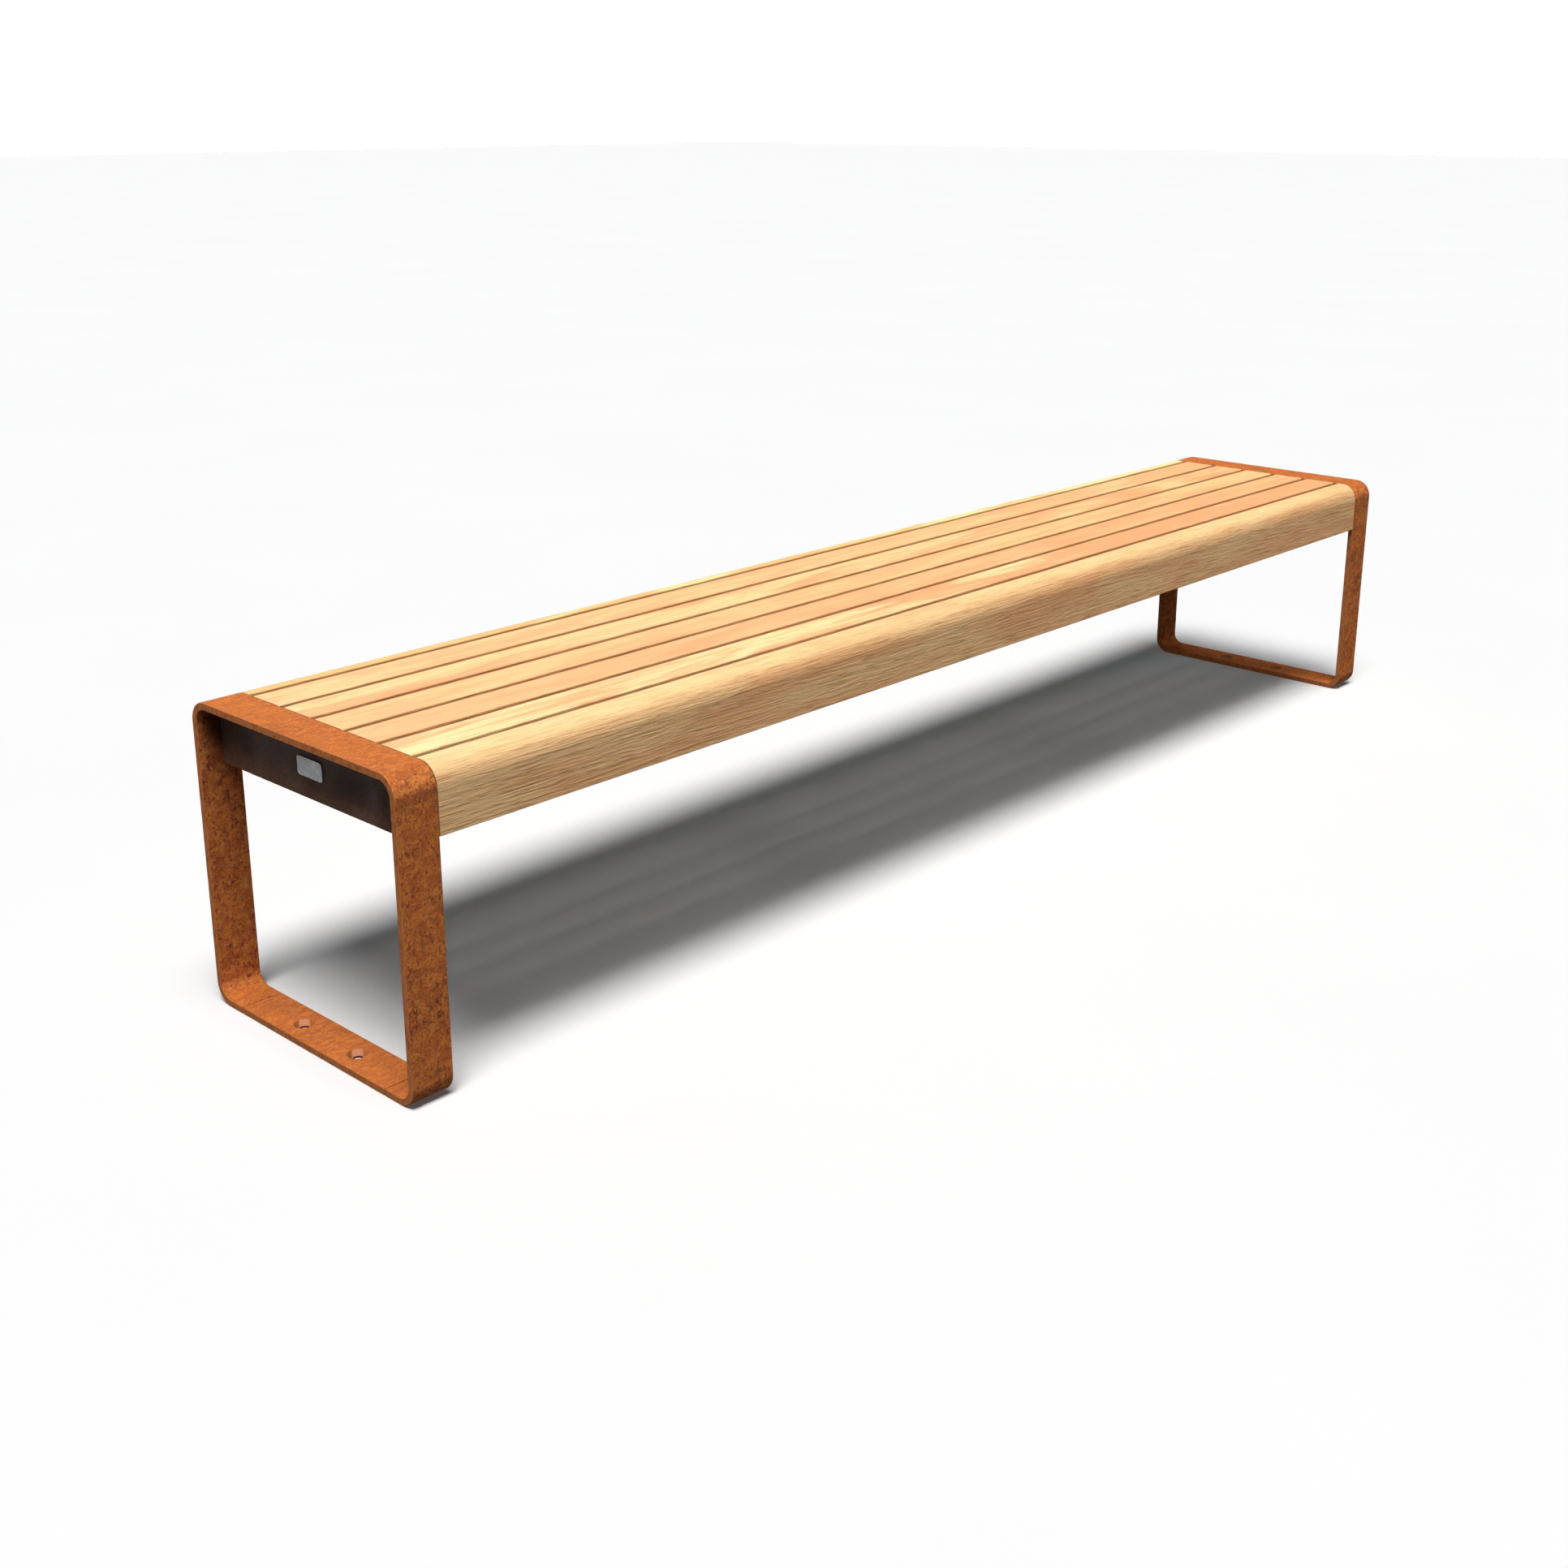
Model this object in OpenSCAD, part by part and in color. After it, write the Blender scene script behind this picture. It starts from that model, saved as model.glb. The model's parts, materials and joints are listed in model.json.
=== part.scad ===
// Backless street bench: seven hardwood boards between two weathering steel end loops.
// X runs along the seat, Y from front (-) to back (+), Z up. The origin is on the ground,
// at the middle of the footprint.

/* [Bench] */
// Overall length
bench_length = 2400; // [1700:10:2600]
// Overall depth, front to back
bench_depth = 440; // [440:1:480]
// Height of the seat
seat_height = 430; // [400:1:480]

/* [End loops] */
// Width of the flat bar, along the bench
bar_width = 60; // [60:1:75]
// Thickness of the flat bar
bar_thickness = 10; // [8:0.5:12]
// Outer radius of the loop's corners
corner_radius = 30; // [25:1:32]
// Distance from the loop's front and back faces to the foot strap's joints
foot_joint_inset = 60; // [50:1:80]
// Depth of the weld groove under each foot joint
groove_depth = 3; // [2:0.5:4]

/* [Anchor holes] */
// Diameter of each anchor hole
anchor_hole = 14; // [12:0.5:14]
// Diameter of the countersink's rim
countersink_rim = 28; // [24:0.5:28]
// Distance between the two holes in a foot strap
anchor_spacing = 120; // [80:5:160]

/* [End plates] */
// Thickness of the end plates
plate_thickness = 6; // [5:0.5:8]
// Set-back of an end plate from the loop's outer edge
plate_recess = 34; // [28:1:36]
// Height of an end plate
plate_height = 84; // [80:1:90]
// Gap left between an end plate and its loop for the weld
plate_fit = 0.5; // [0.2:0.1:0.8]

/* [Badge] */
// Length of the blank badge
badge_length = 54; // [30:1:70]
// Height of the blank badge
badge_height = 26; // [16:1:40]
// Thickness of the blank badge
badge_thickness = 2; // [1:0.5:3]
// Distance of the badge's middle behind the middle of the end plate
badge_shift = 4; // [-20:1:20]

/* [Boards] */
// Number of slats between the two edge boards
slat_count = 5; // [5:1:5]
// Distance from one slat's middle to the next
slat_pitch = 70; // [69:0.5:71]
// Gap between boards
board_gap = 10; // [9:0.5:11]
// Thickness of the slats
slat_thickness = 40; // [36:1:44]
// Height of the edge boards
edge_board_height = 90; // [88:1:95]
// Rounding of the boards' long edges
arris_radius = 2; // [1.5:0.5:3]
// Clearance between the boards' ends and the loops
end_clearance = 1; // [0.5:0.5:3]

/* [Seat frame] */
// Leg of the rails' and bearers' steel angle
angle_leg = 45; // [40:1:45]
// Thickness of the steel angles
angle_thickness = 5; // [4:0.5:5]
// Leg of the ledger angle that carries the board ends
ledger_leg = 60; // [60:1:70]
// Upright leg of the ledger angle
ledger_upright = 40; // [38:1:42]
// Distance from the bench's middle to each cross bearer
bearer_offset = 375; // [320:5:420]

/* [Fasteners] */
// Shank diameter of the slat screws
slat_screw = 6; // [5:0.5:6]
// Shank diameter of the edge board screws
board_screw = 8; // [6:1:8]
// Number of screws into each edge board
board_screw_count = 6; // [4:2:6]
// Diameter of the weld studs
stud = 10; // [8:1:10]
// Distance between neighbouring weld studs
stud_pitch = 90; // [80:5:100]

/* [Hidden] */
$fn = 96;
eps = 0.5;

half_length = bench_length / 2;
half_depth = bench_depth / 2;
inner_radius = corner_radius - bar_thickness;

// End plate and badge places
plate_outer_x = half_length - plate_recess;
plate_inner_x = plate_outer_x - plate_thickness;
plate_top = seat_height - bar_thickness;
plate_bottom = plate_top - plate_height;
badge_z = (plate_top + plate_bottom) / 2;
badge_corner = 5;

// Foot strap
foot_half = half_depth - foot_joint_inset;
bar_mid_x = half_length - bar_width / 2;
countersink_depth = (countersink_rim - anchor_hole) / 2;
root_run = groove_depth / 2;

// Boards
board_end_x = half_length - bar_width - end_clearance;
slat_width = slat_pitch - board_gap;
edge_board_inner = slat_count * slat_pitch / 2 + board_gap / 2;
slat_underside = seat_height - slat_thickness;
edge_underside = seat_height - edge_board_height;
bottom_arris = 1.5;

// Seat frame: the rails hug the edge boards, and the cross members fit between the rails
rail_inner = edge_board_inner - angle_leg;
rail_web = edge_board_inner - angle_thickness;
frame_bottom = slat_underside - angle_leg;
flange_bottom = slat_underside - angle_thickness;
ledger_bottom = slat_underside - ledger_upright;

// Screws: two to a slat wherever it crosses the frame
slat_ys = [for (i = [0 : slat_count - 1]) (i - (slat_count - 1) / 2) * slat_pitch];
slat_screw_half_gap = 16;
screw_ys = [for (y = slat_ys, side = [-1, 1]) y + side * slat_screw_half_gap];
ledger_screw_x = plate_inner_x - ledger_leg + 14;
bearer_screw_x = bearer_offset - 4;
screw_stations = [-ledger_screw_x, -bearer_screw_x, bearer_screw_x, ledger_screw_x];
slat_screw_length = 35;
slat_screw_head = 2 * slat_screw;
slat_screw_head_height = 3.5;
hole_clearance = 0.5;

// Edge board screws: hexagon heads on the inner side of the rails
board_screw_z = flange_bottom - 22;
board_screw_reach = 30;
board_screw_head = 1.85 * board_screw;
board_screw_head_height = 5.5;
board_screw_span = 2 * (board_end_x - 89);
board_screw_xs = [for (i = [0 : board_screw_count - 1])
    (i / (board_screw_count - 1) - 0.5) * board_screw_span];

// Weld studs through the ledgers' upright legs
stud_z = flange_bottom - 18;
stud_ys = [-stud_pitch, 0, stud_pitch];
stud_length = 22;
stud_washer_outer = 2 * stud;
stud_washer_thickness = 2;
stud_nut_height = 0.8 * stud;
stud_nut_across_corners = 1.95 * stud;

// Weld beads
frame_bead = 4;
plate_bead = 4;
plate_stitch = 60;
plate_stitch_pitch = 140;

// ---- Helpers ----

// A rectangle with rounded corners, centred on Y = 0 and standing on Y = 0
module rounded_rect(width, height, radius) {
    translate([-width / 2 + radius, 0]) square([width - 2 * radius, height]);
    translate([-width / 2, radius]) square([width, height - 2 * radius]);
    for (side = [-1, 1], level = [radius, height - radius])
        translate([side * (width / 2 - radius), level]) circle(radius);
}

// Stands a flat outline up in the YZ plane and gives it a thickness along X, from x_start
module along_x(x_start, length) {
    translate([x_start, 0, 0]) rotate([90, 0, 90]) linear_extrude(length) children();
}

// The right-hand end of the bench is made, and this mirrors it for the left-hand end
module at_end(side) {
    mirror([side < 0 ? 1 : 0, 0, 0]) children();
}

// The same for front and back
module at_face(side) {
    mirror([0, side < 0 ? 1 : 0, 0]) children();
}

// A straight triangular bead along Z, with its right angle on the Z axis
module bead(leg, length) {
    linear_extrude(length) polygon([[0, 0], [leg, 0], [0, leg]]);
}

// ---- End loops ----

// Outline of the whole loop of flat bar, seen from the end
module loop_outline() {
    difference() {
        rounded_rect(bench_depth, seat_height, corner_radius);
        translate([0, bar_thickness])
            rounded_rect(bench_depth - 2 * bar_thickness, seat_height - 2 * bar_thickness, inner_radius);
    }
}

// The foot strap's outline: its ends are chamfered below, half of the weld groove each
module foot_outline() {
    polygon([
        [-foot_half + groove_depth, 0], [foot_half - groove_depth, 0], [foot_half, groove_depth],
        [foot_half, bar_thickness], [-foot_half, bar_thickness], [-foot_half, groove_depth]
    ]);
}

// What the hoop leaves out: the strap's length, and its own half of each groove
module foot_opening() {
    polygon([
        [-foot_half - groove_depth - eps, -eps], [foot_half + groove_depth + eps, -eps],
        [foot_half, groove_depth], [foot_half, bar_thickness + eps],
        [-foot_half, bar_thickness + eps], [-foot_half, groove_depth]
    ]);
}

module hoop(side) {
    at_end(side) along_x(half_length - bar_width, bar_width) difference() {
        loop_outline();
        foot_opening();
    }
}

module anchor_cut() {
    translate([0, 0, -eps]) cylinder(d = anchor_hole, h = bar_thickness + 2 * eps);
    translate([0, 0, bar_thickness - countersink_depth])
        cylinder(d1 = anchor_hole, d2 = countersink_rim, h = countersink_depth);
}

module foot_strap(side) {
    at_end(side) difference() {
        along_x(half_length - bar_width, bar_width) foot_outline();
        for (y = [-1, 1] * anchor_spacing / 2)
            translate([bar_mid_x, y, 0]) anchor_cut();
    }
}

module end_plate(side) {
    inner_width = bench_depth - 2 * (bar_thickness + plate_fit);
    at_end(side) along_x(plate_inner_x, plate_thickness) intersection() {
        translate([0, bar_thickness + plate_fit])
            rounded_rect(inner_width, seat_height - 2 * (bar_thickness + plate_fit), inner_radius - plate_fit);
        translate([-half_depth, plate_bottom]) square([bench_depth, plate_height]);
    }
}

module badge() {
    color("Gray") along_x(-plate_outer_x - badge_thickness, badge_thickness)
        translate([badge_shift, badge_z - badge_height / 2])
        rounded_rect(badge_length, badge_height, badge_corner);
}

// ---- Boards ----

// A board's outline, standing on Y = 0 and starting at X = 0, with one radius for each corner:
// bottom near, bottom far, top far, top near
module board_outline(width, height, radii) {
    corners = [[0, 0], [width, 0], [width, height], [0, height]];
    inward = [[1, 1], [-1, 1], [-1, -1], [1, -1]];
    difference() {
        square([width, height]);
        for (i = [0 : 3])
            translate(corners[i] + inward[i] * (radii[i] - eps) / 2) square(radii[i] + eps, center = true);
    }
    for (i = [0 : 3]) intersection() {
        translate(corners[i] + inward[i] * radii[i]) circle(radii[i]);
        translate(corners[i] + inward[i] * radii[i] / 2) square(radii[i], center = true);
    }
}

module slat_screw_shank(x, y, diameter) {
    translate([x, y, flange_bottom]) cylinder(d = diameter, h = slat_screw_length);
}

module slat(index) {
    y = slat_ys[index];
    color("BurlyWood") difference() {
        along_x(-board_end_x, 2 * board_end_x) translate([y - slat_width / 2, slat_underside])
            board_outline(slat_width, slat_thickness, [bottom_arris, bottom_arris, arris_radius, arris_radius]);
        for (x = screw_stations, side = [-1, 1])
            slat_screw_shank(x, y + side * slat_screw_half_gap, slat_screw);
    }
}

// A screw's straight shank, from the rail's inner side into the edge board
module board_screw_shank(x, diameter) {
    translate([x, rail_web, board_screw_z]) rotate([-90, 0, 0])
        cylinder(d = diameter, h = angle_thickness + board_screw_reach);
}

module edge_board(side) {
    color("Tan") at_face(side) difference() {
        along_x(-board_end_x, 2 * board_end_x) translate([edge_board_inner, edge_underside])
            board_outline(half_depth - edge_board_inner, edge_board_height,
                [bottom_arris, bottom_arris, corner_radius, arris_radius]);
        for (x = board_screw_xs) board_screw_shank(x, board_screw);
    }
}

// ---- Seat frame ----

module rail(side) {
    color("DimGray") at_face(side) difference() {
        along_x(-plate_inner_x, 2 * plate_inner_x) {
            translate([rail_inner, flange_bottom]) square([angle_leg, angle_thickness]);
            translate([rail_web, frame_bottom]) square([angle_thickness, angle_leg]);
        }
        for (x = screw_stations)
            translate([0, 0, -eps])
                slat_screw_shank(x, slat_ys[slat_count - 1] + slat_screw_half_gap, slat_screw + hole_clearance);
        for (x = board_screw_xs)
            translate([0, -eps, 0]) board_screw_shank(x, board_screw + hole_clearance);
    }
}

// A cross member: an angle that fits between the rails, with its web run on below them to their webs
module cross_member(flange_x, flange_width, web_x, web_bottom) {
    translate([flange_x, -rail_inner, flange_bottom])
        cube([flange_width, 2 * rail_inner, angle_thickness]);
    translate([web_x, -rail_inner, web_bottom])
        cube([angle_thickness, 2 * rail_inner, slat_underside - web_bottom]);
    translate([web_x, -rail_web, web_bottom])
        cube([angle_thickness, 2 * rail_web, flange_bottom - web_bottom]);
}

module cross_screw_holes(x) {
    for (y = screw_ys)
        if (abs(y) < rail_inner)
            translate([0, 0, -eps]) slat_screw_shank(x, y, slat_screw + hole_clearance);
}

module ledger(side) {
    color("DimGray") at_end(side) difference() {
        cross_member(plate_inner_x - ledger_leg, ledger_leg, plate_inner_x - angle_thickness, ledger_bottom);
        cross_screw_holes(ledger_screw_x);
        for (y = stud_ys)
            translate([plate_inner_x - angle_thickness - eps, y, stud_z]) rotate([0, 90, 0])
                cylinder(d = stud + 2 * hole_clearance, h = angle_thickness + 2 * eps);
    }
}

module bearer(side) {
    color("DimGray") at_end(side) difference() {
        cross_member(bearer_offset - angle_leg / 2, angle_leg,
            bearer_offset + angle_leg / 2 - angle_thickness, frame_bottom);
        cross_screw_holes(bearer_screw_x);
    }
}

// ---- Fasteners ----

module slat_screws() {
    color("Silver") for (x = screw_stations, y = screw_ys) {
        slat_screw_shank(x, y, slat_screw);
        translate([x, y, flange_bottom - slat_screw_head_height])
            cylinder(d = slat_screw_head, h = slat_screw_head_height);
    }
}

module board_screws() {
    color("Silver") for (side = [-1, 1], x = board_screw_xs) at_face(side) {
        board_screw_shank(x, board_screw);
        translate([x, rail_web - board_screw_head_height, board_screw_z]) rotate([-90, 0, 0])
            cylinder(d = board_screw_head, h = board_screw_head_height, $fn = 6);
    }
}

// Places its children at each stud, with +Z pointing from the end plate into the bench
module at_studs(distance) {
    for (side = [-1, 1], y = stud_ys)
        at_end(side) translate([plate_inner_x - distance, y, stud_z]) rotate([0, -90, 0]) children();
}

module stud_ring(outer, thickness) {
    difference() {
        children();
        translate([0, 0, -eps]) cylinder(d = stud, h = thickness + 2 * eps);
    }
}

module weld_studs() {
    color("Silver") at_studs(0) cylinder(d = stud, h = stud_length);
}

module stud_washers() {
    color("Silver") at_studs(angle_thickness) stud_ring(stud_washer_outer, stud_washer_thickness)
        cylinder(d = stud_washer_outer, h = stud_washer_thickness);
}

module stud_nuts() {
    color("Silver") at_studs(angle_thickness + stud_washer_thickness)
        stud_ring(stud_nut_across_corners, stud_nut_height)
        cylinder(d = stud_nut_across_corners, h = stud_nut_height, $fn = 6);
}

// ---- Welds ----

// The root run in each groove under a foot joint
module foot_welds() {
    color("SaddleBrown") for (side = [-1, 1], face = [-1, 1])
        at_end(side) at_face(face) along_x(half_length - bar_width, bar_width)
            polygon([
                [foot_half, groove_depth],
                [foot_half - root_run, groove_depth - root_run],
                [foot_half + root_run, groove_depth - root_run]
            ]);
}

// Stitches between each end plate and its loop, on the plate's inner side
module end_plate_welds() {
    side_height = plate_height - inner_radius - 10;
    color("SaddleBrown") for (side = [-1, 1]) at_end(side) {
        for (y = [-1, 0, 1] * plate_stitch_pitch)
            translate([plate_inner_x, y + plate_stitch / 2, plate_top]) rotate([90, 90, 0])
                mirror([0, 1, 0]) bead(plate_bead, plate_stitch);
        for (face = [-1, 1])
            at_face(face) translate([plate_inner_x, half_depth - bar_thickness, plate_bottom + 5])
                mirror([1, 0, 0]) mirror([0, 1, 0]) bead(plate_bead, side_height);
    }
}

// Upright fillets where the cross members' webs meet the rails' webs
module frame_welds() {
    color("SaddleBrown") for (side = [-1, 1], face = [-1, 1]) at_end(side) at_face(face) {
        translate([plate_inner_x - angle_thickness, rail_web, ledger_bottom])
            mirror([1, 0, 0]) mirror([0, 1, 0]) bead(frame_bead, ledger_upright - angle_thickness);
        translate([bearer_offset + angle_leg / 2 - angle_thickness, rail_web, frame_bottom])
            mirror([1, 0, 0]) mirror([0, 1, 0]) bead(frame_bead, angle_leg - angle_thickness);
    }
}

color("Sienna") hoop(-1);  // left_hoop
color("Sienna") hoop(1);  // right_hoop
color("Sienna") foot_strap(-1);  // left_foot_strap
color("Sienna") foot_strap(1);  // right_foot_strap
color("Sienna") end_plate(-1);  // left_end_plate
color("Sienna") end_plate(1);  // right_end_plate
badge();
rail(-1);  // front_rail
rail(1);  // back_rail
ledger(-1);  // left_ledger
ledger(1);  // right_ledger
bearer(-1);  // left_bearer
bearer(1);  // right_bearer
edge_board(-1);  // front_board
slat(0);  // slat_1
slat(1);  // slat_2
slat(2);  // slat_3
slat(3);  // slat_4
slat(4);  // slat_5
edge_board(1);  // back_board
slat_screws();
board_screws();
weld_studs();
stud_washers();
stud_nuts();
foot_welds();
end_plate_welds();
frame_welds();
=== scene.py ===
"""Looks for the backless street bench: weathering steel loops, hardwood boards and a hidden steel frame."""

import json
import math

import bmesh
import bpy
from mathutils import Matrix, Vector


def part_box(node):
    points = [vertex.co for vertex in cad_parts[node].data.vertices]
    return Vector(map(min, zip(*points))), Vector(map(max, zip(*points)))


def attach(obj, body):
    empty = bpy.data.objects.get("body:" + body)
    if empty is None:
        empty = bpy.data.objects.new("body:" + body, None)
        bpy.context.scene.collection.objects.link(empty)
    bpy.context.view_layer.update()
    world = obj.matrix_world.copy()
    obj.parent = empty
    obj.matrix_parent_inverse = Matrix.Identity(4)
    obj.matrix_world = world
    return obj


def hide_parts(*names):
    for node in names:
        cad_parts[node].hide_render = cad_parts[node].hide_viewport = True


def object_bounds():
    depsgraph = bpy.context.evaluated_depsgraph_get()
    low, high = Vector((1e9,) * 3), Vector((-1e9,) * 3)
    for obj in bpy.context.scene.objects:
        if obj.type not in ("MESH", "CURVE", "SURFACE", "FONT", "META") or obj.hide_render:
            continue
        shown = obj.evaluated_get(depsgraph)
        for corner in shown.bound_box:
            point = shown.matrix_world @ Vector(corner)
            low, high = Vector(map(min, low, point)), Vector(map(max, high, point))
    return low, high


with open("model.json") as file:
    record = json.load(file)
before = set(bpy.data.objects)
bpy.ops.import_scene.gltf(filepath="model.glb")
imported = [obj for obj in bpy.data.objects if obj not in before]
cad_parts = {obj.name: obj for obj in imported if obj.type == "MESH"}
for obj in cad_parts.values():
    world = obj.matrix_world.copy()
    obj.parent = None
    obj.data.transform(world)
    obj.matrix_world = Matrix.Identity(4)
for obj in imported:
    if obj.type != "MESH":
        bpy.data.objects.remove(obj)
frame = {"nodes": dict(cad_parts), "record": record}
cad_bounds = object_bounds()
record = frame["record"]

# ---- Dimensions that the frame's boxes don't hold, in metres ----

CORNER_RADIUS = 0.030
BAR_EDGE = 0.0009
BAR_SEAM_EDGE = 0.0006
BAR_SEAM_GAP = 0.0010
GROOVE_DEPTH = 0.003
COUNTERSINK_RIM = 0.014
PLATE_CORNER = 0.0195
PLATE_EDGE = 0.0006
BADGE_CORNER = 0.005
BADGE_EDGE = 0.0005
BOARD_ARRIS = 0.002
BOARD_BOTTOM_ARRIS = 0.0015
BOARD_END_ARRIS = 0.0008
ANGLE_EDGE = 0.0008
FOOT_WELD_EDGE = 0.0004

# An edge that turns by more than this stays sharp in the shading
SHARP_ANGLE = math.radians(40)

# How many steps a quarter turn takes, for radii below each size
QUARTER_STEPS = [(0.003, 4), (0.010, 6), (math.inf, 16)]


def middle(node):
    low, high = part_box(node)
    return (low + high) / 2


def span(node):
    low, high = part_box(node)
    return high - low


def record_mount(name):
    return next(m for m in record["mounts"] if m["name"] == name)


BAR_THICKNESS = span("left_foot_strap").z
FOOT_HALF = span("left_foot_strap").y / 2

# The four anchor holes lie at plus and minus these distances from the bench's middle
ANCHORS = record_mount("ground_anchor_holes")["dims"]
HOLE_RADIUS = ANCHORS["hole_r_mm"] / 1000
HOLE_X = -middle("left_foot_strap").x
HOLE_Y = ANCHORS["spacing_y_mm"] / 2000


# ---- Outlines and skins ----


def arc(centre, radius, start, stop, steps):
    """Points on an arc, with angles in quarter turns."""
    turns = [start + (stop - start) * i / steps for i in range(steps + 1)]
    return [centre + radius * Vector((math.cos(t * math.pi / 2), math.sin(t * math.pi / 2))) for t in turns]


def rounded_outline(low, high, radii):
    """A rectangle from low to high, anticlockwise, with a radius for each corner:
    low-low, high-low, high-high and low-high."""
    corners = [
        (low[0], low[1], 1, 1),
        (high[0], low[1], -1, 1),
        (high[0], high[1], -1, -1),
        (low[0], high[1], 1, -1),
    ]
    points = []
    for quarter, ((x, y, inward_x, inward_y), radius) in enumerate(zip(corners, radii)):
        centre = Vector((x + inward_x * radius, y + inward_y * radius))
        steps = next(steps for size, steps in QUARTER_STEPS if radius < size)
        points += arc(centre, radius, quarter + 2, quarter + 3, steps)
    return points


def shrunk(outline, edge):
    """The same outline drawn in by edge on every side."""
    low = Vector((min(p.x for p in outline), min(p.y for p in outline)))
    high = Vector((max(p.x for p in outline), max(p.y for p in outline)))
    centre, half = (low + high) / 2, (high - low) / 2
    share = Vector(((half.x - edge) / half.x, (half.y - edge) / half.y))
    return [centre + Vector(((p.x - centre.x) * share.x, (p.y - centre.y) * share.y)) for p in outline]


def skin(name, *solids):
    """One object of closed solids, each through its own list of rings of points, with flat ends."""
    mesh = bmesh.new()
    for rings in solids:
        loops = [[mesh.verts.new(point) for point in ring] for ring in rings]
        for near, far in zip(loops, loops[1:]):
            for i in range(len(near)):
                j = (i + 1) % len(near)
                mesh.faces.new((near[i], near[j], far[j], far[i]))
        mesh.faces.new(list(reversed(loops[0])))
        mesh.faces.new(loops[-1])
    bmesh.ops.recalc_face_normals(mesh, faces=mesh.faces)
    data = bpy.data.meshes.new(name)
    mesh.to_mesh(data)
    mesh.free()
    piece = bpy.data.objects.new(name, data)
    bpy.context.scene.collection.objects.link(piece)
    return piece


def smooth(piece):
    """Smooth shading that keeps the flats flat beside their narrow rounded edges."""
    piece.data.shade_smooth()
    piece.data.set_sharp_from_angle(angle=SHARP_ANGLE)
    weighted = piece.modifiers.new("weighted", "WEIGHTED_NORMAL")
    weighted.keep_sharp = True
    return piece


def extruded(name, outline, start, stop, edge):
    """A YZ outline made solid along X, with its rim rounded by edge on both sides."""
    bulge = edge * 0.3
    stations = [(0, edge), (bulge, bulge), (edge, 0)]
    places = [(start + along, inset) for along, inset in stations]
    places += [(stop - along, inset) for along, inset in reversed(stations)]
    return skin(name, [[Vector((x, p.x, p.y)) for p in shrunk(outline, inset)] for x, inset in places])


def placed(piece, node, material):
    """Puts a finished piece on the bench in place of its CAD node."""
    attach(piece, "root")
    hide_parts(node)
    piece.data.materials.append(material)
    return smooth(piece)


# ---- Materials ----

# How far one noise lies from the next, so that no two share a pattern
NOISE_STRIDE = (7.3, 3.1, 5.7)


class Paint:
    """One material's nodes. Most methods add a node or two and return an output. Sizes are in metres."""

    def __init__(self, name):
        self.material = bpy.data.materials.new(name)
        self.material.use_nodes = True
        self.tree = self.material.node_tree
        self.shader = self.tree.nodes["Principled BSDF"]
        self.where = self.tree.nodes.new("ShaderNodeTexCoord")

    def feed(self, socket, value):
        """Links an output to the socket, or sets a plain value on it."""
        if isinstance(value, bpy.types.NodeSocket):
            self.tree.links.new(value, socket)
        else:
            socket.default_value = value

    def noise(self, size, stretch=(1, 1, 1), detail=3, roughness=0.5, shift=0, warp=0):
        """Noise of the size given, drawn out along each axis by the stretch."""
        mapping = self.tree.nodes.new("ShaderNodeMapping")
        mapping.inputs["Location"].default_value = [stride * shift for stride in NOISE_STRIDE]
        mapping.inputs["Scale"].default_value = [1 / (size * s) for s in stretch]
        self.feed(mapping.inputs["Vector"], self.where.outputs["Object"])
        node = self.tree.nodes.new("ShaderNodeTexNoise")
        node.inputs["Scale"].default_value = 1
        node.inputs["Detail"].default_value = detail
        node.inputs["Roughness"].default_value = roughness
        node.inputs["Distortion"].default_value = warp
        self.feed(node.inputs["Vector"], mapping.outputs["Vector"])
        return node.outputs["Fac"]

    def cells(self, size):
        """A patchwork of cells of about the size given, each with a random colour of its own."""
        node = self.tree.nodes.new("ShaderNodeTexVoronoi")
        node.inputs["Scale"].default_value = 1 / size
        self.feed(node.inputs["Vector"], self.where.outputs["Object"])
        return node.outputs["Color"]

    def math(self, operation, a, b=0.0, c=0.0):
        node = self.tree.nodes.new("ShaderNodeMath")
        node.operation = operation
        for socket, value in zip(node.inputs, (a, b, c)):
            self.feed(socket, value)
        return node.outputs[0]

    def times(self, a, b):
        return self.math("MULTIPLY", a, b)

    def step(self, value, low, high, start=0.0, stop=1.0):
        """A smooth step from start to stop as value goes from low to high."""
        node = self.tree.nodes.new("ShaderNodeMapRange")
        node.interpolation_type = "SMOOTHSTEP"
        for socket, number in zip(node.inputs, (value, low, high, start, stop)):
            self.feed(socket, number)
        return node.outputs[0]

    def mix(self, a, b, share):
        """From colour a, at no share, to colour b, at a whole one."""
        node = self.tree.nodes.new("ShaderNodeMix")
        node.data_type = "RGBA"
        factor, first, second, result = node.inputs[0], node.inputs[6], node.inputs[7], node.outputs[2]
        self.feed(factor, share)
        for socket, colour in ((first, a), (second, b)):
            self.feed(socket, (*colour, 1) if isinstance(colour, tuple) else colour)
        return result

    def axis(self, output, index):
        """One axis of the place, for Object, or of the way that the surface faces, for Normal."""
        node = self.tree.nodes.new("ShaderNodeSeparateXYZ")
        self.feed(node.inputs[0], self.where.outputs[output])
        return node.outputs[index]

    def bump(self, height, distance, strength=1.0, under=None):
        node = self.tree.nodes.new("ShaderNodeBump")
        node.inputs["Distance"].default_value = distance
        node.inputs["Strength"].default_value = strength
        self.feed(node.inputs["Height"], height)
        if under is not None:
            self.feed(node.inputs["Normal"], under)
        return node.outputs[0]

    def finish(self, colour, roughness, normal, metallic=0.0, specular=0.5):
        self.feed(self.shader.inputs["Base Color"], colour)
        self.feed(self.shader.inputs["Roughness"], roughness)
        self.feed(self.shader.inputs["Normal"], normal)
        self.shader.inputs["Metallic"].default_value = metallic
        self.shader.inputs["Specular IOR Level"].default_value = specular
        return self.material


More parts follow.
